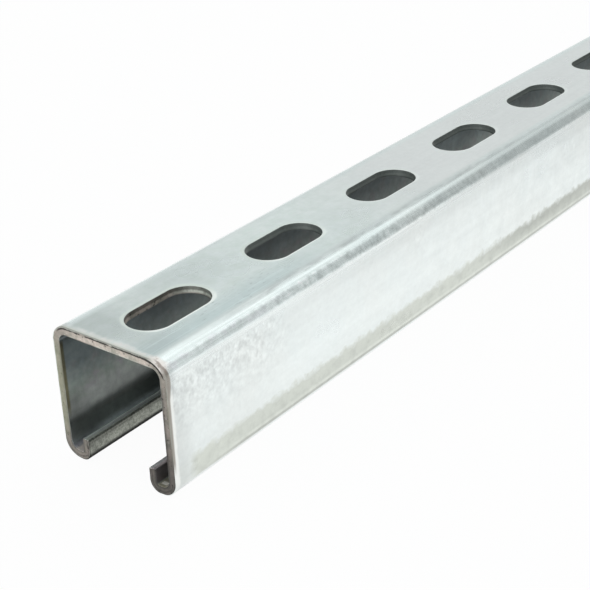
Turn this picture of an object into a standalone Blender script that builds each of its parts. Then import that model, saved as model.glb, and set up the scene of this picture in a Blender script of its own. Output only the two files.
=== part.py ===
# Slotted strut channel: one roll-formed piece of galvanised steel strip.
# The length runs along X. The slotted web is on top and the open side faces down.
# The part lies on its lips, with the floor at Z = 0.
import math

import bmesh
import bpy
from mathutils import Vector

# Overall section, in metres
LENGTH = 0.6096
WIDTH = 0.0413
HEIGHT = 0.0413
WALL = 0.0026

# In-turned lips. LIP_FLAT is the flat strip under each lip, between its two bends.
# The mouth is what the lips leave open, which is 22.2 mm.
LIP_FLAT = 0.00105
LIP_HEIGHT = 0.0072

# Inside radii of the bends
WEB_BEND_RADIUS = 0.0026
FOOT_BEND_RADIUS = 0.0026
LIP_BEND_RADIUS = 0.0007

# Slots in the web
SLOT_LENGTH = 0.0286
SLOT_WIDTH = 0.0143
SLOT_PITCH = 0.0508
FIRST_SLOT = 0.0241
END_LAND = 0.005

# A cutter runs this far past each face that it goes through.
CUT_PAST = 0.001

# Steps in each arc
BEND_STEPS = 8
TIP_STEPS = 3
SLOT_END_STEPS = 18

# Rounded corners of each lip's free edge
TIP_RADIUS = 0.0006

# Faces that meet at less than this are shaded as one curve.
SMOOTH_ANGLE = math.radians(30)

# Zinc coat: sRGB colour as seen in daylight, turned into linear values
ZINC_SRGB = (0.74, 0.76, 0.75)
ZINC_ROUGHNESS = 0.38
ZINC_METALLIC = 1.0


def clear_scene():
    for obj in list(bpy.data.objects):
        bpy.data.objects.remove(obj, do_unlink=True)


def linear(value):
    if value <= 0.04045:
        return value / 12.92
    return ((value + 0.055) / 1.055) ** 2.4


def zinc_material():
    material = bpy.data.materials.new("galvanised_zinc")
    material.use_nodes = True
    shader = material.node_tree.nodes["Principled BSDF"]
    colour = [linear(value) for value in ZINC_SRGB]
    shader.inputs["Base Color"].default_value = (*colour, 1.0)
    shader.inputs["Roughness"].default_value = ZINC_ROUGHNESS
    shader.inputs["Metallic"].default_value = ZINC_METALLIC
    return material


def arc(centre_y, centre_z, radius, start, end, steps):
    """Points in the YZ plane on an arc, both ends included. Angles are in degrees from +Y."""
    points = []
    for i in range(steps + 1):
        angle = math.radians(start + (end - start) * i / steps)
        points.append((centre_y + radius * math.cos(angle), centre_z + radius * math.sin(angle)))
    return points


def half_section():
    """The +Y half of the section's outline, from the top of the web round the lip to the web's underside."""
    side = WIDTH / 2
    web_out = WEB_BEND_RADIUS + WALL
    foot_out = FOOT_BEND_RADIUS + WALL
    lip_out = LIP_BEND_RADIUS + WALL
    web_y = side - web_out
    web_z = HEIGHT - web_out
    foot_y = side - foot_out
    lip_y = foot_y - LIP_FLAT
    mouth = lip_y - lip_out
    tip_near = mouth + TIP_RADIUS
    tip_far = mouth + WALL - TIP_RADIUS
    tip_z = LIP_HEIGHT - TIP_RADIUS
    outside = (
        arc(web_y, web_z, web_out, 90, 0, BEND_STEPS)
        + arc(foot_y, foot_out, foot_out, 0, -90, BEND_STEPS)
        + arc(lip_y, lip_out, lip_out, -90, -180, BEND_STEPS)
    )
    tip = arc(tip_near, tip_z, TIP_RADIUS, 180, 90, TIP_STEPS) + arc(
        tip_far, tip_z, TIP_RADIUS, 90, 0, TIP_STEPS
    )
    inside = (
        arc(lip_y, lip_out, LIP_BEND_RADIUS, -180, -90, BEND_STEPS)
        + arc(foot_y, foot_out, FOOT_BEND_RADIUS, -90, 0, BEND_STEPS)
        + arc(web_y, web_z, WEB_BEND_RADIUS, 0, 90, BEND_STEPS)
    )
    return outside + tip + inside


def section_outline():
    half = half_section()
    mirrored = [(-y, z) for y, z in reversed(half)]
    return half + mirrored


def extruded(name, corners, direction):
    """A closed solid: the outline's face and its copy moved along the direction."""
    mesh = bpy.data.meshes.new(name)
    shape = bmesh.new()
    face = shape.faces.new([shape.verts.new(corner) for corner in corners])
    moved = bmesh.ops.extrude_face_region(shape, geom=[face])
    verts = [item for item in moved["geom"] if isinstance(item, bmesh.types.BMVert)]
    bmesh.ops.translate(shape, verts=verts, vec=direction)
    bmesh.ops.recalc_face_normals(shape, faces=shape.faces)
    shape.to_mesh(mesh)
    shape.free()
    obj = bpy.data.objects.new(name, mesh)
    bpy.context.scene.collection.objects.link(obj)
    return obj


def slot_centres():
    """The first slot is FIRST_SLOT from the cut end at -X, and END_LAND or more of web is left past the last."""
    first = -LENGTH / 2 + FIRST_SLOT
    last = LENGTH / 2 - END_LAND - SLOT_LENGTH / 2
    count = 1 + int((last - first) / SLOT_PITCH)
    return [first + i * SLOT_PITCH for i in range(count)]


def slot_outline(centre):
    """A slot with full round ends, as points in the XY plane."""
    radius = SLOT_WIDTH / 2
    half = SLOT_LENGTH / 2 - radius
    far = arc(centre + half, 0, radius, -90, 90, SLOT_END_STEPS)
    near = arc(centre - half, 0, radius, 90, 270, SLOT_END_STEPS)
    return far + near


def slot_cutter():
    """All the slots' cutters as one hidden object. They pass through the web and stop above the lips."""
    low = HEIGHT - WALL - CUT_PAST
    height = WALL + 2 * CUT_PAST
    mesh = bpy.data.meshes.new("slot_cutter")
    shape = bmesh.new()
    for centre in slot_centres():
        corners = [shape.verts.new((x, y, low)) for x, y in slot_outline(centre)]
        face = shape.faces.new(corners)
        moved = bmesh.ops.extrude_face_region(shape, geom=[face])
        verts = [item for item in moved["geom"] if isinstance(item, bmesh.types.BMVert)]
        bmesh.ops.translate(shape, verts=verts, vec=Vector((0, 0, height)))
    bmesh.ops.recalc_face_normals(shape, faces=shape.faces)
    shape.to_mesh(mesh)
    shape.free()
    cutter = bpy.data.objects.new("slot_cutter", mesh)
    bpy.context.scene.collection.objects.link(cutter)
    cutter.hide_render = True
    cutter.display_type = "WIRE"
    return cutter


def strut_channel(material):
    outline = [(-LENGTH / 2, y, z) for y, z in section_outline()]
    channel = extruded("strut_channel", outline, Vector((LENGTH, 0, 0)))
    channel.data.materials.append(material)
    cut = channel.modifiers.new("slots", "BOOLEAN")
    cut.operation = "DIFFERENCE"
    cut.solver = "EXACT"
    cut.object = slot_cutter()
    channel.data.shade_smooth()
    channel.data.set_sharp_from_angle(angle=SMOOTH_ANGLE)
    return channel


clear_scene()
strut_channel(zinc_material())
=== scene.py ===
import math
from types import SimpleNamespace

import bmesh
import bpy
from mathutils import Matrix, Vector, noise

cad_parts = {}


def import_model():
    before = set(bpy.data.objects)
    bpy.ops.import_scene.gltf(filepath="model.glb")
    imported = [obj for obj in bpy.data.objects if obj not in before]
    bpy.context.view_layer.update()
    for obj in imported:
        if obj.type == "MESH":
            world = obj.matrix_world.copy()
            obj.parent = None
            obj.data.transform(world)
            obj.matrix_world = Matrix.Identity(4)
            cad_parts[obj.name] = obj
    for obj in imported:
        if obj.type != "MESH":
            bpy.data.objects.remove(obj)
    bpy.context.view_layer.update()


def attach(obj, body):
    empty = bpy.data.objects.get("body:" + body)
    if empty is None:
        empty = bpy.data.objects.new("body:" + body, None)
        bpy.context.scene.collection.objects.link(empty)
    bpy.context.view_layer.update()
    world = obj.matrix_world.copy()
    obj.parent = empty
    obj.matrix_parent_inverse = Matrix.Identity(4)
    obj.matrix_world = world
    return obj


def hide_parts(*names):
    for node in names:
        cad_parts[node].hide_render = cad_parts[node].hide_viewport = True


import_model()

# Section and slots, in metres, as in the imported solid
LENGTH = 0.6096
WIDTH = 0.0413
HEIGHT = 0.0413
WALL = 0.0026
WEB_BEND_RADIUS = 0.0026
FOOT_BEND_RADIUS = 0.0026
LIP_BEND_RADIUS = 0.0007
LIP_FLAT = 0.00105
LIP_HEIGHT = 0.0072
TIP_RADIUS = 0.0006
SLOT_LENGTH = 0.0286
SLOT_WIDTH = 0.0143
SLOT_PITCH = 0.0508
FIRST_SLOT = 0.0241
SLOT_COUNT = 12
WEB_EDGE = WIDTH / 2 - WEB_BEND_RADIUS - WALL

# Fine relief: rounded and worn edges, and the punch marks round each slot
END_ROUND = 0.00024
INNER_END_ROUND = 0.0001
WORN_ROUND = 0.0011
WORN_REACH = 0.0052
SLOT_ROLLOVER = 0.00022
SLOT_BURR_ROUND = 0.00012
SLOT_DISH = 0.00005

# Shear roughness of the cut faces: its depth, cycles per metre, and what each noise adds
END_ROUGHNESS = 0.00008
SHEAR_ALONG = 40.0
SHEAR_COARSE = 700.0
SHEAR_FINE = 2300.0
SHEAR_FINE_SHIFT = 9.0
SHEAR_LEVEL = 0.45
SHEAR_COARSE_SHARE = 0.5
SHEAR_FINE_SHARE = 0.35

# Mesh density
BEND_STEPS = 12
LEG_STEPS = 12
LIP_STEPS = 3
TIP_STEPS = 4
SHEET_LAYERS = 6
END_ROUND_STEPS = 3
CELL_X_STEPS = 20
CELL_Y_STEPS = 16
SLOT_END_SHARE = 4
SLOT_ROLLOVER_STEPS = 4
SLOT_BURR_STEPS = 2
RING_STEPS = 6
# Edge mark on the slots' rolled rims, which the zinc shows as a painted highlight
RIM_WEAR = 0.5
RING_SPREAD = 1.6
WALL_STEPS = 4
MERGE = 1e-6

# Material slots of the mesh
ZINC = 0
CUT = 1

# Metal of the coating and of the cut steel, and their bump in metres
ZINC_METALLIC = 0.92
ZINC_DULLING = 0.6
ZINC_BUMP = 0.35
ZINC_BUMP_DEPTH = 0.00002
CUT_METALLIC = 0.55
CUT_BUMP = 0.5
CUT_BUMP_DEPTH = 0.00005

# Slanted dashes in the coating: their turn in radians, and cycles per metre
DASH_TURN = (0.0, 0.6, 0.0)
DASH_SCALE = (980.0, 760.0, 640.0)

# Noise nodes mostly stay within these values
NOISE_LOW = 0.3
NOISE_MIDDLE = 0.5
NOISE_HIGH = 0.7

# Colours as they look on a screen: red, green and blue from 0 to 255
COLOURS = {
    "zinc": (243, 250, 249),
    "zinc cloud": (245, 250, 248),
    "web mottle": (236, 244, 240),
    # Painted reflection: the web beside the first slot darker and bluer
    "web beside the slot": (226, 242, 243),
    "web further on": (243, 244, 243),
    # Tint of the bend's band of painted darker reflection
    "bend band": (247, 242, 249),
    # Tint of the painted shade low on the side, at the foot
    "foot": (240, 245, 236),
    "lip": (243, 248, 234),
    "inside, upper": (224, 241, 244),
    "inside, lower": (230, 241, 234),
    "inside, mauve": (236, 230, 240),
    "inside, green": (220, 242, 220),
    "inside, foot": (232, 239, 235),
    "groove": (228, 236, 238),
    "near lip": (236, 222, 224),
    "inner edge": (190, 186, 150),
    "verge": (236, 231, 227),
    # Painted highlights: along the leg's edge at the cut, and on the rims of the slots and cut ends,
    # greyer on the far side and whiter on the near side
    "leg verge": (250, 252, 248),
    "far rim": (224, 231, 224),
    "near rim": (252, 255, 251),
    "end line": (214, 213, 204),
    # Dark lines along the cut ends, on the web and on the near leg
    "burnt": (110, 108, 98),
    "leg burnt": (146, 138, 128),
    "worn": (252, 243, 238),
    "scar": (134, 116, 106),
    "rust": (140, 118, 108),
    # The groove's cut end: dark where painted shade falls up its bend, pale on its floor, and the near
    # side's colour
    "crust, dark": (126, 124, 132),
    "crust, pale": (212, 198, 190),
    "crust, near": (160, 152, 130),
    # A painted highlight in the near groove, just inside the cut end
    "fleck": (255, 250, 240),
    "steel, dark": (150, 146, 136),
    "steel, light": (186, 174, 165),
    "steel, pale": (204, 196, 190),
    "pit": (66, 58, 54),
    "ridge": (190, 182, 168),
    "outer rim": (196, 193, 174),
    "far leg": (156, 160, 132),
    "smeared zinc": (214, 218, 208),
    # Painted shade: the greyer, darker walls of the slots further along
    "further slots": (146, 153, 150),
}
WHITE = (1.0, 1.0, 1.0, 1.0)

# Floor: half its side, how far it lies below the lips, and how much of its own white each kind of ray sees
FLOOR_REACH = 8.0
FLOOR_DROP = 0.0002
FLOOR_COLOUR = (0.9, 0.9, 0.9, 1.0)
FLOOR_ROUGHNESS = 0.9
FLOOR_SHOWN = (("Is Camera Ray", 0.96), ("Is Glossy Ray", 0.97), ("Is Transmission Ray", 0.5))

# Sky: brightness by the height of the direction, its tint, and one dark flag
SKY = (
    (0.0, 1.0), (0.07, 0.96), (0.13, 0.68), (0.18, 0.67), (0.27, 0.74), (0.39, 0.74), (0.46, 0.66),
    (0.52, 0.57), (0.56, 0.60), (0.61, 0.84), (0.67, 1.05), (0.76, 1.18), (0.86, 1.02), (1.0, 0.80),
)
SKY_TINT = (0.96, 1.01, 1.01)
FLAG_AZIMUTH = -25.0
FLAG_ELEVATION = 10.0
FLAG_EDGE = 0.915
FLAG_FULL = 0.975
FLAG_LIGHT = 0.64

# Camera, fitted to the photograph's outlines
CAMERA_AT = (-0.52294, -0.23683, 0.21561)
CAMERA_AZIMUTH = -51.453
CAMERA_ELEVATION = 27.067
CAMERA_ROLL = -2.333
CAMERA_LENS = 85.634
CAMERA_CLIP = (0.01, 50.0)
SENSOR_WIDTH = 36.0


# Section


def arc(centre, radius, start, end, steps, flip=False):
    """(y, z, normal y, normal z) on an arc. Angles in degrees from +Y."""
    found = []
    sign = -1.0 if flip else 1.0
    for i in range(steps + 1):
        a = math.radians(start + (end - start) * i / steps)
        y, z = math.cos(a), math.sin(a)
        found.append((centre[0] + radius * y, centre[1] + radius * z, sign * y, sign * z))
    return found


def straight(a, b, normal, steps):
    """(y, z, normal y, normal z) strictly between a and b."""
    found = []
    for i in range(1, steps):
        f = i / steps
        found.append((a[0] + (b[0] - a[0]) * f, a[1] + (b[1] - a[1]) * f, *normal))
    return found


def section_column(inner):
    """One face of the sheet on the +Y half, from the web's bend round to the lip's free edge."""
    side = WIDTH / 2
    web_out = WEB_BEND_RADIUS + WALL
    foot_out = FOOT_BEND_RADIUS + WALL
    lip_out = LIP_BEND_RADIUS + WALL
    web_c = (side - web_out, HEIGHT - web_out)
    foot_c = (side - foot_out, foot_out)
    lip_c = (foot_c[0] - LIP_FLAT, lip_out)
    near = lip_c[0] - lip_out
    far = near + WALL
    tip_z = LIP_HEIGHT - TIP_RADIUS
    depth = WALL if inner else 0.0
    sign = -1.0 if inner else 1.0
    edge = far if inner else near
    column = arc(web_c, web_out - depth, 90, 0, BEND_STEPS, inner)
    column += straight((side - depth, web_c[1]), (side - depth, foot_c[1]), (sign, 0.0), LEG_STEPS)
    column += arc(foot_c, foot_out - depth, 0, -90, BEND_STEPS, inner)
    column += arc(lip_c, lip_out - depth, -90, -180, BEND_STEPS, inner)
    column += straight((edge, lip_c[1]), (edge, tip_z), (-sign, 0.0), LIP_STEPS)
    if inner:
        column += arc((far - TIP_RADIUS, tip_z), TIP_RADIUS, 0, 90, TIP_STEPS)
    else:
        column += arc((near + TIP_RADIUS, tip_z), TIP_RADIUS, 180, 90, TIP_STEPS)
    return column


def distances():
    """How far each point of a column is from the web's centre line, along the outer face."""
    column = section_column(False)
    found = [WEB_EDGE]
    for a, b in zip(column, column[1:]):
        found.append(found[-1] + math.dist(a[:2], b[:2]))
    return found


def profile_face(inner):
    """One face with its marks: (y, z, normal y, normal z, layer, around, wear).

    layer is 0 on the outer face and 1 on the inner, around is the distance from the web's centre line
    along the outer face, and wear is 1 on edges.
    """
    layer = 1.0 if inner else 0.0
    return [(*point, layer, around, 0.0) for point, around in zip(section_column(inner), distances())]


def half_profile():
    """The whole +Y half as one line: outer face, lip's edge, inner face."""
    outer, inner = profile_face(False), profile_face(True)
    a, b = outer[-1], inner[-1]
    tip = []
    for k in range(1, SHEET_LAYERS):
        f = k / SHEET_LAYERS
        tip.append((a[0] + (b[0] - a[0]) * f, a[1], 0.0, 1.0, f, a[5], 0.0))
    return outer + tip + inner[::-1]


def web_profile(z, sign, layer):
    """The web's flat, from -Y to +Y."""
    ys = [-WEB_EDGE + 2 * WEB_EDGE * j / CELL_Y_STEPS for j in range(CELL_Y_STEPS + 1)]
    return [(y, z, 0.0, sign, layer, abs(y), 0.0) for y in ys]


def mirrored(profile, mirror):
    return [(y * mirror, z, ny * mirror, *rest) for y, z, ny, *rest in profile]


# Stations along the length


def slot_centres():
    first = -LENGTH / 2 + FIRST_SLOT
    return [first + i * SLOT_PITCH for i in range(SLOT_COUNT)]


def cell_ranges():
    """The stretch of web that belongs to each slot, from -X to +X."""
    centres = slot_centres()
    edges = [-LENGTH / 2 + END_ROUND]
    edges += [(a + b) / 2 for a, b in zip(centres, centres[1:])]
    edges += [LENGTH / 2 - END_ROUND]
    return list(zip(edges, edges[1:]))


def cell_xs(low, high):
    return [low + (high - low) * i / CELL_X_STEPS for i in range(CELL_X_STEPS + 1)]


def worn_at():
    """The outer corner at -Y, where the cut ends are worn."""
    out = WEB_BEND_RADIUS + WALL
    reach = out * math.cos(math.radians(45))
    return -WIDTH / 2 + out - reach, HEIGHT - out + reach


def end_round(y, z, layer):
    """Radius of the cut end's edge."""
    if layer > 0:
        return INNER_END_ROUND
    away = math.dist((y, z), worn_at()) / WORN_REACH
    return END_ROUND + (WORN_ROUND - END_ROUND) * max(0.0, 1 - away * away)


def end_shares():
    """Steps of the rounding at a cut end, from 0 at the end's face to 1 where it stops."""
    return [k / END_ROUND_STEPS for k in range(END_ROUND_STEPS + 1)]


def rounded_row(profile, side, share):
    """The profile at a cut end, at one step of its rounding."""
    row = []
    a = math.radians(90 * share)
    for y, z, ny, nz, layer, around, _ in profile:
        radius = end_round(y, z, layer)
        inward = radius * (1 - math.sin(a))
        x = side * (LENGTH / 2 - radius * (1 - math.cos(a)))
        row.append((x, y - ny * inward, z - nz * inward, layer, around, 1 - share))
    return row


def plain_row(profile, x):
    return [(x, y, z, layer, around, wear) for y, z, _, _, layer, around, wear in profile]


# Mesh patches


class Sheet:
    """Points (x, y, z, layer, around, wear) and the faces between them, gathered from grids."""

    def __init__(self):
        self.points = []
        self.marks = []
        self.quads = []
        self.slots = []

    def grid(self, rows, slot=ZINC, loop=False):
        """rows are equally long lists of points. slot is one number, or one for each gap between rows."""
        start = len(self.points)
        width = len(rows[0])
        for row in rows:
            self.points += [p[:3] for p in row]
            self.marks += [p[3:] for p in row]
        for i in range(len(rows) - 1):
            kind = slot[i] if isinstance(slot, list) else slot
            for j in range(width if loop else width - 1):
                a = start + i * width + j
                b = start + i * width + (j + 1) % width
                self.quads.append((a, b, b + width, a + width))
                self.slots.append(kind)


def add_halves(sheet):
    """Everything but the web's flat: two mirrored runs from one cut end to the other."""
    xs = []
    for low, high in cell_ranges():
        xs += cell_xs(low, high)[1:]
    for mirror in (1, -1):
        profile = mirrored(half_profile(), mirror)
        rows = [rounded_row(profile, -1, share) for share in end_shares()]
        rows += [plain_row(profile, x) for x in xs[:-1]]
        rows += [rounded_row(profile, 1, share) for share in reversed(end_shares())]
        sheet.grid(rows)


def cut_rows(outer, inner, side):
    """The cut face between two matching profiles."""
    rows = []
    for p, q in zip(rounded_row(outer, side, 0.0), rounded_row(inner, side, 0.0)):
        row = []
        for k in range(SHEET_LAYERS + 1):
            f = k / SHEET_LAYERS
            row.append((p[0], p[1] + (q[1] - p[1]) * f, p[2] + (q[2] - p[2]) * f, f, p[4], 0.0))
        rows.append(row)
    return rows


def add_ends(sheet):
    """The cut faces, and the web's rounded edges at them."""
    outer, inner = profile_face(False), profile_face(True)
    top = web_profile(HEIGHT, 1.0, 0.0)
    under = web_profile(HEIGHT - WALL, -1.0, 1.0)
    for side in (-1, 1):
        for mirror in (1, -1):
            sheet.grid(cut_rows(mirrored(outer, mirror), mirrored(inner, mirror), side), CUT)
        sheet.grid(cut_rows(top, under, side), CUT)
        for flat in (top, under):
            sheet.grid([rounded_row(flat, side, share) for share in end_shares()])


def slot_line(centre):
    """(x, y, normal x, normal y) round a slot, from the +X end's lower side, anticlockwise."""
    radius = SLOT_WIDTH / 2
    half = SLOT_LENGTH / 2 - radius
    per_end = CELL_Y_STEPS + 2 * SLOT_END_SHARE
    step = 180 / per_end
    run = CELL_X_STEPS - 2 * SLOT_END_SHARE
    found = []
    for way in (1, -1):
        for i in range(per_end + 1):
            a = math.radians(-90 + step * i)
            nx, ny = way * math.cos(a), way * math.sin(a)
            found.append((centre + way * half + radius * nx, radius * ny, nx, ny))
        for i in range(1, run):
            found.append((centre + way * half - way * 2 * half * i / run, way * radius, 0.0, float(way)))
    return found[SLOT_END_SHARE:] + found[:SLOT_END_SHARE]


def cell_line(low, high):
    """The cell's edge, point for point with slot_line."""
    ys = [p[0] for p in web_profile(HEIGHT, 1.0, 0.0)]
    xs = cell_xs(low, high)
    found = [(high, y) for y in ys[:-1]]
    found += [(x, WEB_EDGE) for x in xs[::-1][:-1]]
    found += [(low, y) for y in ys[::-1][:-1]]
    found += [(x, -WEB_EDGE) for x in xs[:-1]]
    return found


def slot_rings():
    """Rings from the top to the underside.

    Each is (offset from the slot's line, z, blend towards the cell's edge, layer, wear, kind).
    """
    under = HEIGHT - WALL
    top = HEIGHT - SLOT_DISH
    wall_top = top - SLOT_ROLLOVER
    wall_low = under + SLOT_BURR_ROUND
    found = []
    for k in range(RING_STEPS):
        blend = (1 - k / RING_STEPS) ** RING_SPREAD
        wear = RIM_WEAR if k == RING_STEPS - 1 else 0.0
        found.append((SLOT_ROLLOVER, HEIGHT - SLOT_DISH * (1 - blend) ** 3, blend, 0.0, wear, ZINC))
    for k in range(SLOT_ROLLOVER_STEPS):
        a = math.radians(90 * (1 - k / SLOT_ROLLOVER_STEPS))
        offset = SLOT_ROLLOVER * (1 - math.cos(a))
        found.append((offset, top - SLOT_ROLLOVER * (1 - math.sin(a)), 0.0, 0.0, RIM_WEAR, ZINC))
    for k in range(WALL_STEPS):
        f = k / WALL_STEPS
        found.append((0.0, wall_top + (wall_low - wall_top) * f, 0.0, f, 0.0, CUT))
    for k in range(SLOT_BURR_STEPS):
        a = math.radians(90 * k / SLOT_BURR_STEPS)
        offset = SLOT_BURR_ROUND * (1 - math.cos(a))
        found.append((offset, wall_low - SLOT_BURR_ROUND * math.sin(a), 0.0, 1.0, 0.0, ZINC))
    for k in range(RING_STEPS + 1):
        found.append((SLOT_BURR_ROUND, under, (k / RING_STEPS) ** RING_SPREAD, 1.0, 0.0, ZINC))
    return found


def add_web(sheet):
    """The web's flat with its slots: rings from each cell's edge down through the slot and back below."""
    rings = slot_rings()
    for centre, (low, high) in zip(slot_centres(), cell_ranges()):
        hole = slot_line(centre)
        edge = cell_line(low, high)
        rows = []
        for offset, z, blend, layer, wear, kind in rings:
            row = []
            for (x, y, nx, ny), (ex, ey) in zip(hole, edge):
                px, py = x + nx * offset, y + ny * offset
                py += (ey - py) * blend
                # Slot walls are marked by how much they face +X, rims by the ring's edge mark, which the
                # zinc shows as a painted highlight
                rub = max(0.0, nx) if kind == CUT else wear
                row.append((px + (ex - px) * blend, py, z, layer, abs(py), rub))
            rows.append(row)
        sheet.grid(rows, [kind for *_, kind in rings], loop=True)


def roughen_ends(shape):
    """Shear marks: the cut faces sink by up to END_ROUGHNESS, always inwards."""
    reach = LENGTH / 2 - END_ROUND
    for vert in shape.verts:
        x, y, z = vert.co
        past = (abs(x) - reach) / END_ROUND
        if past <= 0:
            continue
        along = x * SHEAR_ALONG
        coarse = noise.noise(Vector((along, y * SHEAR_COARSE, z * SHEAR_COARSE)))
        fine = noise.noise(Vector((along + SHEAR_FINE_SHIFT, y * SHEAR_FINE, z * SHEAR_FINE)))
        depth = SHEAR_LEVEL + SHEAR_COARSE_SHARE * coarse + SHEAR_FINE_SHARE * fine
        sink = END_ROUGHNESS * min(1.0, max(0.0, depth)) * past
        vert.co.x -= math.copysign(sink, x)


def strut_mesh():
    sheet = Sheet()
    add_halves(sheet)
    add_ends(sheet)
    add_web(sheet)
    mesh = bpy.data.meshes.new("strut")
    mesh.from_pydata(sheet.points, [], sheet.quads)
    mesh.polygons.foreach_set("material_index", sheet.slots)
    for index, name in enumerate(("layer", "around", "wear")):
        values = mesh.attributes.new(name, "FLOAT", "POINT")
        values.data.foreach_set("value", [marks[index] for marks in sheet.marks])
    shape = bmesh.new()
    shape.from_mesh(mesh)
    bmesh.ops.remove_doubles(shape, verts=shape.verts, dist=MERGE)
    bmesh.ops.recalc_face_normals(shape, faces=shape.faces)
    roughen_ends(shape)
    shape.to_mesh(mesh)
    shape.free()
    mesh.shade_smooth()
    return mesh


# Nodes for the materials


def linear(name):
    """A named colour as linear RGBA."""
    found = []
    for value in COLOURS[name]:
        value /= 255
        found.append(value / 12.92 if value <= 0.04045 else ((value + 0.055) / 1.055) ** 2.4)
    return (*found, 1.0)


class Nodes:
    """Short calls for building a node tree."""

    def __init__(self, tree):
        self.tree = tree

    def add(self, kind, settings=None, **inputs):
        """A new node. An input goes by its name, with _ for a space, or by its number as i0, i1, ..."""
        node = self.tree.nodes.new(kind)
        for name, value in (settings or {}).items():
            setattr(node, name, value)
        for name, value in inputs.items():
            key = int(name[1:]) if name[0] == "i" and name[1:].isdigit() else name.replace("_", " ")
            self.put(node.inputs[key], value)
        return node

    def put(self, socket, value):
        if isinstance(value, bpy.types.NodeSocket):
            self.tree.links.new(value, socket)
        else:
            socket.default_value = value

    def math(self, operation, a, b=0.0, clamp=False):
        settings = {"operation": operation, "use_clamp": clamp}
        return self.add("ShaderNodeMath", settings, i0=a, i1=b).outputs[0]

    def chain(self, operation, first, *rest):
        for value in rest:
            first = self.math(operation, first, value)
        return first

    def times(self, *values):
        return self.chain("MULTIPLY", *values)

    def plus(self, *values):
        return self.chain("ADD", *values)

    def most(self, *values):
        return self.chain("MAXIMUM", *values)

    def flip(self, mask):
        """0 where the mask is 1, and 1 where it is 0."""
        return self.math("SUBTRACT", 1.0, mask)

    def less(self, amount, *masks):
        """1 where the masks' product is 0, and 1 - amount where it is 1."""
        return self.math("SUBTRACT", 1.0, self.times(*masks, amount))

    def more(self, amount, *masks):
        """1 where the masks' product is 0, and 1 + amount where it is 1."""
        return self.plus(1.0, self.times(*masks, amount))

    def mark(self, name):
        return self.add("ShaderNodeAttribute", {"attribute_name": name}).outputs["Fac"]

    def scaled(self, vector, scale, shift=(0.0, 0.0, 0.0)):
        return self.add("ShaderNodeMapping", Vector=vector, Scale=scale, Location=shift).outputs[0]

    def noise(self, vector, scale=1.0, detail=2.0, roughness=0.5):
        inputs = {"Vector": vector, "Scale": scale, "Detail": detail, "Roughness": roughness}
        return self.add("ShaderNodeTexNoise", **inputs).outputs["Fac"]

    def ramp(self, value, low, high, to_low=0.0, to_high=1.0):
        limits = {"i1": low, "i2": high, "i3": to_low, "i4": to_high}
        return self.add("ShaderNodeMapRange", {"clamp": True}, i0=value, **limits).outputs[0]

    def between(self, value, start, full, fade, gone):
        """Rises from 0 at start to 1 at full, and falls from 1 at fade to 0 at gone."""
        return self.times(self.ramp(value, start, full), self.ramp(value, gone, fade))

    def vary(self, value, low, high):
        """A noise, turned to run from low to high."""
        return self.ramp(value, NOISE_LOW, NOISE_HIGH, low, high)

    def wobble(self, value, reach):
        return self.vary(value, -reach, reach)

    def centred(self, value):
        return self.math("SUBTRACT", value, NOISE_MIDDLE)

    def mix(self, factor, a, b, blend="MIX"):
        node = self.add("ShaderNodeMix", {"data_type": "RGBA", "blend_type": blend})
        self.put(node.inputs[0], factor)
        self.put(node.inputs[6], a)
        self.put(node.inputs[7], b)
        return node.outputs[2]

    def tinted(self, colour, factor):
        """The colour times one number."""
        grey = self.add("ShaderNodeCombineColor", i0=factor, i1=factor, i2=factor).outputs[0]
        return self.mix(1.0, colour, grey, "MULTIPLY")

    def coated(self, colour, coats):
        """The colour with coats laid over it in turn. Each is a mask, and a colour or the name of one."""
        for mask, coat in coats:
            colour = self.mix(mask, colour, linear(coat) if isinstance(coat, str) else coat)
        return colour


class Surface(Nodes):
    """Nodes of a material on the channel, with what its masks go by.

    gap is the distance from the nearest cut end. station is the distance from the web's centre line,
    around the outer face: the web's flat ends at 0.0155, its bend at 0.0236, the leg's flat at 0.0545,
    the foot's bend at 0.0627, the sole's flat at 0.0637, the lip's bend at 0.0689, its face at 0.0722
    and its edge at 0.0731.
    """

    def __init__(self, tree):
        super().__init__(tree)
        self.place = self.add("ShaderNodeTexCoord").outputs["Object"]
        self.x, self.y, self.z = self.add("ShaderNodeSeparateXYZ", i0=self.place).outputs
        self.gap = self.math("SUBTRACT", LENGTH / 2, self.math("ABSOLUTE", self.x))
        self.layer = self.mark("layer")
        self.station = self.mark("around")
        self.wear = self.mark("wear")

    def along(self, *limits):
        """A ramp by the distance from the nearest cut end."""
        return self.ramp(self.gap, *limits)

    def around(self, *limits):
        """A ramp by the distance around the section."""
        return self.ramp(self.station, *limits)

    def across(self, *limits):
        """A ramp by the place across the channel, where the near side is negative."""
        return self.ramp(self.y, *limits)

    def stretch(self, *limits):
        """A part of the length, at both ends alike."""
        return self.between(self.gap, *limits)

    def strip(self, *limits):
        """A part of the section that runs the whole length."""
        return self.between(self.station, *limits)

    def drawn_out(self, along, across, detail=2.0, roughness=0.6, shift=(0.0, 0.0, 0.0)):
        """Noise with other scales along the channel than across it."""
        return self.noise(self.scaled(self.place, (along, across, across), shift), 1.0, detail, roughness)


def new_material(name, kind=Nodes):
    material = bpy.data.materials.new(name)
    material.use_nodes = True
    tree = material.node_tree
    return material, kind(tree), tree.nodes["Principled BSDF"]


# Zinc coating: m holds its noises and masks by name


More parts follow.
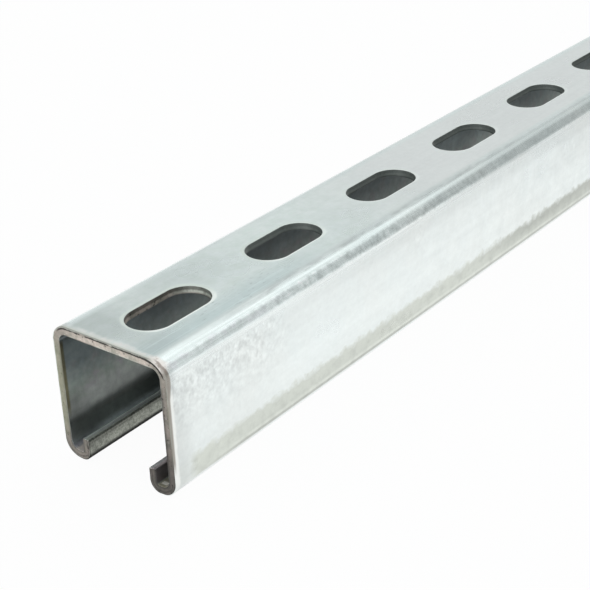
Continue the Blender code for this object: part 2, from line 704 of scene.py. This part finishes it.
def zinc_noises(n, m):
    """Clouds, streaks along the rolling direction, fine lines, a faint spangle and slanted dashes."""
    m.cloud = n.noise(n.place, 38.0, 3.0, 0.55)
    m.streak = n.drawn_out(5.0, 190.0, detail=4.0)
    m.lines = n.drawn_out(22.0, 900.0)
    m.scuff = n.drawn_out(16.0, 1100.0, detail=3.0, roughness=0.65, shift=(0.3, 0.0, 0.7))
    m.mottle = n.drawn_out(260.0, 300.0, detail=3.0, shift=(0.0, 0.2, 0.9))
    m.grain = n.noise(n.place, 620.0, 2.0, 0.6)
    m.grit = n.noise(n.place, 1700.0, 2.0, 0.6)
    m.blotch = n.noise(n.place, 430.0, 2.0, 0.6)
    turned = n.add("ShaderNodeMapping", Vector=n.place, Rotation=DASH_TURN, Scale=DASH_SCALE).outputs[0]
    m.slanted = n.noise(turned, 1.0, 2.5, 0.6)
    patch = n.plus(n.along(0.06, 0.03, 0.15, 0.8), n.drawn_out(50.0, 90.0, roughness=0.5))
    m.patch = n.ramp(patch, 0.7, 1.2)


def face_masks(n, m):
    """The sheet's two faces and the channel's two sides."""
    m.inside = n.ramp(n.layer, 0.6, 1.0)
    m.outside = n.flip(m.inside)
    m.near = n.across(0.001, -0.001)
    m.far = n.flip(m.near)


def web_masks(n, m):
    """The web's face, its parts round the first slot, the far corner, and the scratches and glints."""
    m.web = n.times(n.around(0.0160, 0.0140), m.outside)
    # Painted shade: the web darker near the cut end, on its far side, and beside the first slot
    m.web_end = n.times(n.along(0.018, 0.009), m.web)
    m.far_side = n.times(n.across(-0.002, 0.004), n.along(0.060, 0.040), m.web)
    m.beside = n.times(n.across(-0.005, -0.012), n.along(0.085, 0.050), m.web)
    m.far_corner = n.times(n.along(0.0035, 0.0012), n.across(0.0150, 0.0168), m.outside)
    scratch = n.ramp(n.drawn_out(330.0, 1300.0), 0.60, 0.70)
    m.scratch = n.times(scratch, n.stretch(0.018, 0.026, 0.058, 0.068), n.across(-0.004, -0.008), m.web)
    glint = n.ramp(n.drawn_out(28.0, 1300.0, shift=(0.5, 0.3, 0.0)), 0.54, 0.66)
    where = n.times(n.along(0.070, 0.050), n.across(-0.006, -0.010), n.around(0.0172, 0.0162))
    m.glint = n.times(glint, where, m.outside)


def bend_masks(n, m):
    """The web's bend: the whole of it, its blotchy band of painted darker reflection, and the painted dark
    line that leads into it.
    """
    m.bend = n.strip(0.0160, 0.0185, 0.0225, 0.0245)
    low = n.plus(n.station, n.wobble(m.mottle, 0.0003), n.along(0.05, 0.08, 0.0, -0.0004))
    m.band = n.times(n.around(0.0183, 0.0192), n.ramp(low, 0.0221, 0.0212), m.outside)
    lead = n.times(n.strip(0.0142, 0.0164, 0.0171, 0.0178), m.outside)
    lead = n.times(lead, n.along(0.14, 0.19, 1.0, 0.45), n.across(-0.001, 0.001, 1.0, 0.3))
    m.lead = n.times(lead, n.ramp(n.drawn_out(150.0, 500.0, roughness=0.5), 0.35, 0.65, 0.6, 1.4))


def leg_masks(n, m):
    """The leg's face, its upper part, top, cut end and dashes, and the foot's face, top, line and sole."""
    m.leg = n.times(n.around(0.0225, 0.0250), m.outside)
    m.upper = n.times(n.around(0.044, 0.027), m.leg)
    top = n.math("SUBTRACT", n.station, n.along(0.10, 0.15, 0.0015, 0.0))
    m.leg_top = n.times(n.ramp(top, 0.0213, 0.0223), n.around(0.0285, 0.0262), m.outside)
    m.leg_end = n.times(n.along(0.0090, 0.0035), m.leg, n.around(0.026, 0.031))
    m.dashes = n.times(n.ramp(m.slanted, 0.46, 0.62), m.patch, m.leg)
    foot = n.ramp(n.plus(n.z, n.wobble(m.mottle, 0.0012)), 0.0113, 0.0093)
    foot_start = n.ramp(n.plus(n.gap, n.wobble(m.mottle, 0.0010)), 0.0060, 0.0085, 0.2, 1.0)
    m.foot = n.times(foot, n.around(0.0569, 0.0562), foot_start, m.leg)
    m.foot_top = n.times(m.foot, n.ramp(n.z, 0.0040, 0.0082), n.along(0.150, 0.185))
    m.foot_line = n.times(n.strip(0.0540, 0.0545, 0.0550, 0.0553), n.along(0.015, 0.030))
    m.sole = n.times(n.strip(0.0551, 0.0557, 0.0562, 0.0568), m.outside)


def lip_masks(n, m):
    """The lip's face, its upper and lower parts, its bend and its free edge."""
    m.lip = n.times(n.strip(0.0640, 0.0660, 0.0729, 0.0731), m.outside)
    m.lip_top = n.times(n.around(0.0706, 0.0716), m.lip)
    m.lip_low = n.times(n.strip(0.0655, 0.0662, 0.0706, 0.0722), m.outside)
    m.lip_bend = n.times(n.strip(0.0625, 0.0640, 0.0677, 0.0688), m.outside)
    m.tip = n.around(0.0728, 0.0731)
    m.near_lip = n.times(n.around(0.0665, 0.0680), m.near, n.most(m.inside, m.tip))


def inside_masks(n, m):
    """The inner face: groove behind the lip, leg deep inside where shade is painted, hollow above the
    foot, the groove's cut end, the far leg's inner edge, and a painted highlight in the near groove.
    """
    m.trough = n.times(n.strip(0.0540, 0.0562, 0.0655, 0.0670), m.inside)
    # Painted shade deep inside the leg
    m.deep = n.times(n.stretch(0.024, 0.036, 0.165, 0.190), n.around(0.046, 0.038), m.inside)
    m.hollow = n.times(n.around(0.048, 0.056), m.inside)
    crust = n.ramp(n.plus(n.gap, n.times(m.mottle, 0.002)), 0.0070, 0.0045)
    m.crust = n.times(m.trough, crust, n.around(0.0566, 0.0582))
    m.inner_edge = n.times(n.along(0.0013, 0.0008), n.strip(0.0230, 0.0245, 0.044, 0.048), m.inside, m.far)
    # Painted highlight: a near-white strip in the near groove, just inside the cut end
    fleck = n.times(n.strip(0.0606, 0.0616, 0.0640, 0.0650), n.stretch(0.0008, 0.0012, 0.0021, 0.0026))
    m.fleck = n.times(fleck, m.inside, m.near)


def end_masks(n, m):
    """What the cut left: pale verges, dark lines along the cut ends, and the worn and scarred near corner;
    and painted highlights on the rims of slots and cut ends and along the leg's edge at the cut.
    """
    # Painted highlight: a pale rim on the slots' rolled edges and the rounded edges of the cut ends,
    # fading along the length, above the foot
    edge = n.times(n.ramp(n.wear, 0.38, 0.5), n.along(0.05, 0.11, 1.0, 0.35))
    m.edge = n.times(edge, n.around(0.054, 0.050), m.outside)
    verge = n.ramp(n.plus(n.gap, n.times(m.mottle, 0.0034)), 0.0044, 0.0030)
    m.verge = n.times(verge, m.outside, n.around(0.0218, 0.0195), n.across(0.016, 0.004, 0.3, 1.0))
    # Painted highlight: a pale line along the leg's outer edge at the cut
    leg_verge = n.ramp(n.plus(n.gap, n.times(m.mottle, 0.0012)), 0.0026, 0.0019)
    m.leg_verge = n.times(leg_verge, m.leg, n.strip(0.0258, 0.0285, 0.054, 0.060))
    above_leg = n.times(n.around(0.022, 0.018), m.outside)
    m.end_line = n.times(n.along(0.0012, 0.0006), above_leg)
    # A dark line along the web's edge at the cut end
    m.burnt = n.times(n.along(0.00042, 0.00012), above_leg)
    # A dark line along the near leg's edge at the cut end
    leg_burnt = n.ramp(n.math("SUBTRACT", n.gap, n.around(0.0250, 0.0290, 0.0007, 0.0)), 0.0008, 0.0004)
    m.leg_burnt = n.times(leg_burnt, n.strip(0.0192, 0.0210, 0.048, 0.052), m.outside, m.near)
    corner = n.times(n.across(-0.010, -0.012), n.ramp(n.x, -0.29, -0.30), m.outside)
    worn = n.ramp(n.plus(n.gap, n.wobble(n.noise(n.place, 600.0), 0.0006)), 0.0030, 0.0016)
    m.worn = n.times(worn, n.strip(0.0140, 0.0165, 0.0192, 0.0213), corner)
    m.rust = n.times(n.ramp(n.noise(n.place, 800.0, 1.0), 0.57, 0.68), m.worn)
    scar_off = n.math("ABSOLUTE", n.math("SUBTRACT", n.plus(n.gap, n.wobble(m.mottle, 0.0003)), 0.0007))
    m.scar = n.times(n.ramp(scar_off, 0.0005, 0.0002), n.strip(0.0155, 0.0175, 0.0208, 0.0222), corner)


def outer_tones(n, m):
    """Brightness factors of the outer face above the foot, much of it painted shade and reflection."""
    return (
        # The coating everywhere
        n.vary(m.cloud, 0.99, 1.01),
        n.vary(m.streak, 0.97, 1.02),
        n.vary(m.grain, 0.975, 1.02),
        n.vary(m.lines, 0.99, 1.01),
        # Web: streaks, painted shade near the cut end, on the far side and beside the first slot,
        # scratches, painted glints, and a darker far corner
        n.less(0.05, n.ramp(m.streak, 0.40, 0.62), m.web),
        n.less(0.13, m.web_end),
        n.less(0.10, m.far_side),
        n.less(0.10, m.beside),
        n.less(0.22, m.scratch),
        n.more(0.13, m.glint),
        n.less(0.35, m.far_corner),
        # Bend: painted shade on the line that leads into it and further along, scuffs, the blotchy band of
        # painted darker reflection, and darker at the cut end
        n.less(0.26, m.lead, n.along(0.018, 0.045, 0.2, 1.0)),
        n.less(0.13, n.strip(0.0160, 0.0170, 0.0190, 0.0200), n.along(0.11, 0.16), m.outside),
        n.less(0.10, n.ramp(m.scuff, 0.48, 0.62), m.bend),
        n.more(n.along(0.10, 0.18, 1.0, 0.4), n.centred(m.blotch), m.band, n.along(0.02, 0.06, 0.5, 1.1)),
        n.less(0.13, m.band, n.along(0.08, 0.15)),
        n.less(0.20, n.along(0.0036, 0.0020), n.strip(0.0200, 0.0215, 0.0265, 0.0295), m.outside),
        # Leg: painted shade on its upper part, its top and near the cut end; dashes, blotches and grain
        n.less(0.03, m.upper),
        n.less(0.07, m.upper, n.along(0.065, 0.035)),
        n.less(0.08, m.upper, n.along(0.17, 0.22)),
        n.less(0.09, m.leg_top, n.along(0.045, 0.090)),
        n.less(0.08, m.leg_top, n.around(0.0250, 0.0235), n.along(0.12, 0.18)),
        n.less(0.14, m.leg_end),
        n.less(0.05, m.leg, n.around(0.036, 0.044), n.along(0.050, 0.030)),
        n.more(n.around(0.038, 0.024, 0.10, 0.60), n.centred(m.slanted), m.patch, m.leg),
        n.ramp(n.times(n.centred(m.blotch), m.patch, m.upper), -0.12, 0.12, 0.90, 1.10),
        n.more(0.22, n.centred(n.noise(n.place, 150.0, 3.0, 0.6)), m.leg, n.along(0.08, 0.16)),
    )


def low_tones(n, m):
    """Brightness factors of the foot, the sole and the lip: mostly painted shade, with a painted highlight
    on the near lip's edge.
    """
    return (
        # Foot: mottling, painted shade over its band, most at the band's top, and on the sole; a lighter
        # line where its bend starts
        n.less(0.10, n.ramp(m.mottle, 0.46, 0.66), n.most(m.foot, n.times(m.leg, 0.2))),
        n.less(0.15, m.foot),
        n.less(0.08, m.foot, n.along(0.020, 0.050)),
        n.less(0.22, m.foot_top),
        n.more(0.12, m.foot_line),
        n.less(0.24, m.sole, n.along(0.010, 0.030)),
        # Lip: painted shade over its face, its upper and lower parts and its bend; grit and blotches;
        # painted shade on its cut edges, the far tip and inside the near lip; a painted highlight on the
        # near tip
        n.less(0.27, m.lip),
        n.less(0.43, m.lip_low),
        n.less(0.60, m.lip_top),
        n.less(0.92, m.lip_bend),
        n.less(0.35, n.ramp(m.grit, 0.42, 0.60), m.lip),
        n.ramp(n.times(n.centred(m.blotch), m.lip), -0.15, 0.15, 0.80, 1.20),
        n.less(0.80, n.wear, n.around(0.0640, 0.0660)),
        n.less(0.45, m.tip, n.ramp(n.layer, 0.58, 0.46), m.far),
        n.more(0.9, m.tip, n.ramp(n.layer, 0.50, 0.36), m.near),
        n.less(0.40, m.near_lip),
    )


def inner_tones(n, m):
    """Brightness factors of the inner face: painted shade inside the channel, and painted light low down.
    """
    return (
        # Painted shade over the whole inner face, then blotches and clouds, and painted shade on its edges
        n.less(0.53, m.inside),
        n.vary(m.blotch, n.less(0.12, m.inside), n.more(0.12, m.inside)),
        n.less(0.18, n.ramp(m.cloud, 0.42, 0.60), m.inside),
        n.less(0.60, n.wear, m.inside),
        # Painted shade under the web and down the upper half of the leg
        n.less(0.50, n.along(0.007, 0.003), n.around(0.026, 0.023), m.inside),
        n.less(0.30, n.around(0.038, 0.024), m.inside),
        n.less(0.38, m.deep),
        n.less(0.16, n.along(0.030, 0.016), n.strip(0.028, 0.032, 0.044, 0.050), m.inside),
        # Painted shade on the lower half of the leg
        n.less(0.40, n.along(0.010, 0.003), n.strip(0.038, 0.043, 0.047, 0.050), m.inside),
        n.less(0.42, n.along(0.024, 0.034), n.strip(0.040, 0.045, 0.0548, 0.0562), m.inside),
        n.less(0.30, n.along(0.016, 0.008), n.around(0.046, 0.050), m.inside),
        n.less(0.40, n.strip(0.0472, 0.0488, 0.0495, 0.0510), n.along(0.036, 0.029, 0.6, 1.0), m.inside),
        # Light caught low down, in the groove and on the lip's free edge
        n.plus(
            n.more(0.10, n.around(0.037, 0.043), m.inside),
            n.times(m.hollow, 0.1),
            n.times(m.trough, n.along(0.006, 0.014, 0.3, 1.1), n.along(0.027, 0.034, 1.0, 0.25)),
            n.times(m.tip, 1.55),
        ),
    )


def zinc_hue(n, m):
    """The coating's colour, before the brightness, with the tints of its painted shade and reflections."""
    low = n.ramp(n.plus(n.station, n.wobble(m.mottle, 0.004)), 0.030, 0.040)
    inner = n.mix(low, linear("inside, upper"), linear("inside, lower"))
    hue = n.mix(n.ramp(m.cloud, 0.35, 0.65), linear("zinc"), linear("zinc cloud"))
    return n.coated(hue, (
        (n.times(n.ramp(m.mottle, 0.35, 0.65), m.web), "web mottle"),
        # Tints of painted reflection beside the slot and on the bend's band, and of painted shade on the
        # foot
        (n.times(m.beside, 0.6), "web beside the slot"),
        (n.times(m.web, n.along(0.09, 0.14)), "web further on"),
        (n.times(m.band, n.ramp(m.mottle, 0.45, 0.60), n.along(0.055, 0.035), 0.4), "bend band"),
        (m.foot, "foot"),
        (n.most(m.lip, m.tip), "lip"),
        (m.inside, inner),
        (n.times(m.inside, low, n.ramp(m.mottle, 0.54, 0.66), 0.6), "inside, mauve"),
        (n.times(m.inside, low, n.ramp(m.mottle, 0.48, 0.36), 0.6), "inside, green"),
        (n.times(m.inside, n.around(0.040, 0.045)), "inside, foot"),
        (n.times(m.trough, 0.8), "groove"),
        (m.near_lip, "near lip"),
        (m.inner_edge, "inner edge"),
    ))


def zinc_marks(n, m, colour):
    """The colour with the marks of the cut, painted highlights on rims and edges, and the groove's cut end
    laid over it.
    """
    # The rims' painted highlight: greyer on the far side, whiter on the near side
    rim = n.mix(n.across(-0.001, -0.006), linear("far rim"), linear("near rim"))
    # The groove's cut end: painted shade up its bend, paler lower down, another colour on the near side
    depth = n.plus(n.station, n.wobble(m.blotch, 0.0012))
    crust = n.mix(n.ramp(depth, 0.0588, 0.0612), linear("crust, dark"), linear("crust, pale"))
    crust = n.mix(m.near, crust, linear("crust, near"))
    return n.coated(colour, (
        (n.times(m.verge, n.ramp(m.blotch, 0.38, 0.60, 0.30, 0.85)), "verge"),
        # Painted highlight on the leg's edge at the cut
        (n.times(m.leg_verge, 0.8), "leg verge"),
        (m.edge, rim),
        (n.times(m.end_line, 0.7), "end line"),
        # Dark lines along the cut ends
        (n.times(m.burnt, 0.6), "burnt"),
        (n.times(m.leg_burnt, 0.85), "leg burnt"),
        (n.times(m.worn, 0.85), "worn"),
        (n.times(m.scar, 0.7), "scar"),
        (n.times(m.rust, 0.4), "rust"),
        # The groove's cut end, with its painted shade
        (n.times(m.crust, n.vary(m.grit, 0.6, 1.0)), crust),
        # Painted highlight in the near groove
        (n.times(m.fleck, 0.9), "fleck"),
    ))


def zinc_material():
    """Bright rolled zinc, blotchier at the foot, in the lips and inside, and greyer there with painted
    shade; marked by the cut, with painted highlights and painted reflections.
    """
    material, n, shader = new_material("galvanised_zinc", Surface)
    m = SimpleNamespace()
    zinc_noises(n, m)
    for masks in (face_masks, web_masks, bend_masks, leg_masks, lip_masks, inside_masks, end_masks):
        masks(n, m)

    tone = n.times(*outer_tones(n, m), *low_tones(n, m), *inner_tones(n, m))
    colour = zinc_marks(n, m, n.tinted(zinc_hue(n, m), tone))
    n.put(shader.inputs["Base Color"], colour)

    rough = n.plus(
        n.vary(m.cloud, 0.26, 0.33),
        n.times(m.dashes, 0.06),
        n.times(m.bend, -0.10),
        n.times(n.ramp(m.scuff, 0.45, 0.65), m.bend, 0.14),
        n.times(m.inside, 0.12),
        n.times(m.lip, 0.15),
        n.times(m.lip_bend, 0.45),
        n.times(n.most(m.verge, m.worn), 0.2),
        n.times(n.wear, 0.12),
    )
    n.put(shader.inputs["Roughness"], rough)
    dull = n.most(m.verge, m.worn, m.edge, m.lip_bend, n.times(m.hollow, 0.5), m.crust, m.fleck)
    metal = n.math("SUBTRACT", ZINC_METALLIC, n.times(dull, ZINC_DULLING), clamp=True)
    n.put(shader.inputs["Metallic"], metal)

    relief = n.plus(
        n.times(m.lines, 0.25),
        n.times(m.dashes, 0.4),
        n.times(n.noise(n.place, 260.0), 2.5),
        n.times(m.scuff, m.bend, 1.2),
        n.times(m.grit, m.lip, 3.0),
    )
    bump = n.add("ShaderNodeBump", Strength=ZINC_BUMP, Distance=ZINC_BUMP_DEPTH, Height=relief)
    n.put(shader.inputs["Normal"], bump.outputs[0])
    return material


# Cut steel: m holds its noises and masks by name


def cut_masks(n, m):
    """Grain and pits, the cut ends and slots' walls, the burr's dark line, and the ridges in the feet."""
    m.grain = n.noise(n.place, 1500.0, 3.0, 0.65)
    m.blotch = n.noise(n.place, 330.0, 3.0, 0.55)
    m.pale = n.ramp(n.noise(n.place, 1100.0, 2.0, 0.6), 0.56, 0.68)
    m.pit = n.ramp(n.noise(n.scaled(n.place, (1.0, 1.0, 1.0), (0.04, 0.0, 0.02)), 900.0, 1.0), 0.64, 0.72)
    steps = n.drawn_out(40.0, 420.0, detail=1.0, roughness=0.5, shift=(0.0, 0.1, 0.6))
    m.depth = n.plus(n.layer, n.wobble(m.grain, 0.04))
    m.near = n.across(0.002, -0.002)
    m.far = n.flip(m.near)
    m.slot = n.along(0.0006, 0.0012)
    m.end = n.flip(m.slot)
    # Painted shade on the walls of the slots further along
    m.later = n.times(m.slot, n.along(0.040, 0.058))

    off = n.math("ABSOLUTE", n.math("SUBTRACT", m.depth, n.around(0.012, 0.022, 0.13, 0.19)))
    thick = n.times(n.around(0.010, 0.016), m.near, 0.10)
    broken = n.ramp(n.plus(steps, n.times(thick, 4.0)), 0.32, 0.50, 0.3, 1.0)
    burr = n.times(n.ramp(n.math("SUBTRACT", off, thick), 0.15, 0.07), n.around(0.0232, 0.0210))
    m.burr = n.times(burr, m.end, broken, n.less(0.9, m.far, n.around(0.0180, 0.0200)))
    low = n.around(0.054, 0.059)
    ridges = n.math("SINE", n.plus(n.times(m.depth, 8.0), n.times(steps, 4.0)))
    m.ridge = n.times(n.ramp(ridges, 0.4, 0.95), low)
    m.furrow = n.times(n.ramp(ridges, -0.5, -0.95), low)
    m.rim = n.times(n.ramp(m.depth, 0.26, 0.10), n.strip(0.026, 0.032, 0.046, 0.050), m.end)


def cut_tone(n, m):
    """Brightness of the cut steel."""
    return n.times(
        n.vary(m.grain, 0.86, 1.10),
        n.less(0.92, m.burr),
        n.less(0.45, m.furrow),
        n.ramp(m.depth, 0.86, 1.0, 1.0, 0.55),
        # Slots' walls: darker on their upper part, and painted shade on those of the slots further along
        n.less(0.62, m.slot, n.ramp(m.depth, 0.60, 0.40), n.less(0.6, m.later)),
        n.less(0.20, m.slot, n.ramp(m.depth, 0.70, 0.90), m.later),
        # Web at the cut end lighter, and painted light on the walls of the first slots
        n.plus(n.more(0.50, n.around(0.017, 0.012), m.end), n.times(m.slot, n.along(0.10, 0.07), 0.16)),
        # Legs at the cut end
        n.less(0.25, n.ramp(m.depth, 0.60, 0.90), n.around(0.022, 0.028), m.end),
        n.less(0.20, n.around(0.022, 0.028), m.near, m.end),
        n.less(0.30, n.ramp(m.depth, 0.55, 0.85), n.around(0.024, 0.030), m.near, m.end),
        n.less(0.58, n.around(0.034, 0.050), m.near, m.end),
        n.less(0.35, n.around(0.046, 0.058), m.far, m.end),
        # Painted shade on the outer edge of the cut at the feet and lips, over its reflection
        n.less(0.5, n.ramp(m.depth, 0.16, 0.04), n.around(0.046, 0.056)),
    )


def cut_material():
    """Sheared steel: brownish grey, blotchy, dark under the outer edge, zinc smeared on slots' walls, and
    painted shade on the walls of the slots further along.
    """
    material, n, shader = new_material("cut_steel", Surface)
    m = SimpleNamespace()
    cut_masks(n, m)

    base = n.mix(n.ramp(m.blotch, 0.35, 0.65), linear("steel, dark"), linear("steel, light"))
    base = n.coated(base, (
        (n.times(m.pale, 0.5), "steel, pale"),
        (n.times(m.pit, 0.75), "pit"),
        (n.times(m.ridge, 0.35), "ridge"),
        (n.times(m.rim, 0.45), "outer rim"),
        (n.times(m.far, n.strip(0.020, 0.028, 0.050, 0.055), m.end, 0.55), "far leg"),
        (n.times(n.wear, n.ramp(m.blotch, 0.30, 0.55, 0.4, 1.0), n.less(0.8, m.later)), "smeared zinc"),
        (n.times(m.later, 0.95), "further slots"),
    ))
    n.put(shader.inputs["Base Color"], n.tinted(base, cut_tone(n, m)))
    n.put(shader.inputs["Roughness"], n.vary(m.grain, 0.42, 0.6))
    shader.inputs["Metallic"].default_value = CUT_METALLIC
    relief = n.plus(m.grain, n.times(m.blotch, 1.5), n.times(m.burr, -2.0), m.ridge)
    bump = n.add("ShaderNodeBump", Strength=CUT_BUMP, Distance=CUT_BUMP_DEPTH, Height=relief)
    n.put(shader.inputs["Normal"], bump.outputs[0])
    return material


# Stage


def floor_material():
    """White: partly its own light where the camera sees it, so that the object's shadow stays faint."""
    material, n, shader = new_material("floor_white")
    output = material.node_tree.nodes["Material Output"]
    shader.inputs["Base Color"].default_value = FLOOR_COLOUR
    shader.inputs["Roughness"].default_value = FLOOR_ROUGHNESS
    shader.inputs["Specular IOR Level"].default_value = 0.0
    glow = n.add("ShaderNodeEmission", Color=WHITE, Strength=1.0)
    rays = n.add("ShaderNodeLightPath").outputs
    shown = n.plus(*(n.times(rays[kind], share) for kind, share in FLOOR_SHOWN))
    mix = n.add("ShaderNodeMixShader", Fac=shown, i1=shader.outputs[0], i2=glow.outputs[0])
    n.put(output.inputs["Surface"], mix.outputs[0])
    return material


def floor():
    mesh = bpy.data.meshes.new("floor")
    corners = [(x * FLOOR_REACH, y * FLOOR_REACH, 0) for x, y in ((-1, -1), (1, -1), (1, 1), (-1, 1))]
    mesh.from_pydata(corners, [], [(0, 1, 2, 3)])
    mesh.materials.append(floor_material())
    obj = bpy.data.objects.new("floor", mesh)
    obj.location.z = -FLOOR_DROP
    bpy.context.scene.collection.objects.link(obj)


def world():
    """A plain studio: a sky that changes with height, one dark flag, and white to the camera."""
    made = bpy.data.worlds.new("studio")
    bpy.context.scene.world = made
    made.use_nodes = True
    tree = made.node_tree
    n = Nodes(tree)
    background = tree.nodes["Background"]
    way = n.add("ShaderNodeTexCoord").outputs["Generated"]
    height = n.add("ShaderNodeSeparateXYZ", i0=way).outputs[2]
    ramp = n.add("ShaderNodeValToRGB", Fac=height)
    stops = ramp.color_ramp.elements
    for at, value in SKY:
        stop = stops[0] if at == 0.0 else stops[-1] if at == 1.0 else stops.new(at)
        stop.position = at
        stop.color = (*(value * tint for tint in SKY_TINT), 1.0)
    a, e = math.radians(FLAG_AZIMUTH), math.radians(FLAG_ELEVATION)
    flag = (math.cos(a) * math.cos(e), math.sin(a) * math.cos(e), math.sin(e))
    toward = n.add("ShaderNodeVectorMath", {"operation": "DOT_PRODUCT"}, i0=way, i1=flag).outputs["Value"]
    sky = n.tinted(ramp.outputs[0], n.ramp(toward, FLAG_EDGE, FLAG_FULL, 1.0, FLAG_LIGHT))
    rays = n.add("ShaderNodeLightPath").outputs
    n.put(background.inputs["Color"], n.mix(rays["Is Camera Ray"], sky, WHITE))
    background.inputs["Strength"].default_value = 1.0


def camera():
    data = bpy.data.cameras.new("camera")
    data.lens = CAMERA_LENS
    data.sensor_width = SENSOR_WIDTH
    data.clip_start, data.clip_end = CAMERA_CLIP
    obj = bpy.data.objects.new("camera", data)
    a, e, r = (math.radians(v) for v in (CAMERA_AZIMUTH, CAMERA_ELEVATION, CAMERA_ROLL))
    back = Vector((math.sin(a) * math.cos(e), -math.cos(a) * math.cos(e), math.sin(e)))
    level = (-back).cross(Vector((0, 0, 1))).normalized()
    over = level.cross(-back)
    right = level * math.cos(r) + over * math.sin(r)
    up = right.cross(-back)
    obj.matrix_world = Matrix.Translation(CAMERA_AT) @ Matrix((right, up, back)).transposed().to_4x4()
    bpy.context.scene.collection.objects.link(obj)
    bpy.context.scene.camera = obj


def strut():
    """The channel's one piece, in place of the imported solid."""
    obj = bpy.data.objects.new("strut_sheet", strut_mesh())
    bpy.context.scene.collection.objects.link(obj)
    obj.data.materials.append(zinc_material())
    obj.data.materials.append(cut_material())
    even = obj.modifiers.new("even_normals", "WEIGHTED_NORMAL")
    even.mode = "FACE_AREA_WITH_ANGLE"
    even.keep_sharp = True
    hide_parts("strut_channel")
    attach(obj, "root")


camera()
world()
floor()
strut()
bpy.context.scene.view_settings.view_transform = "Standard"
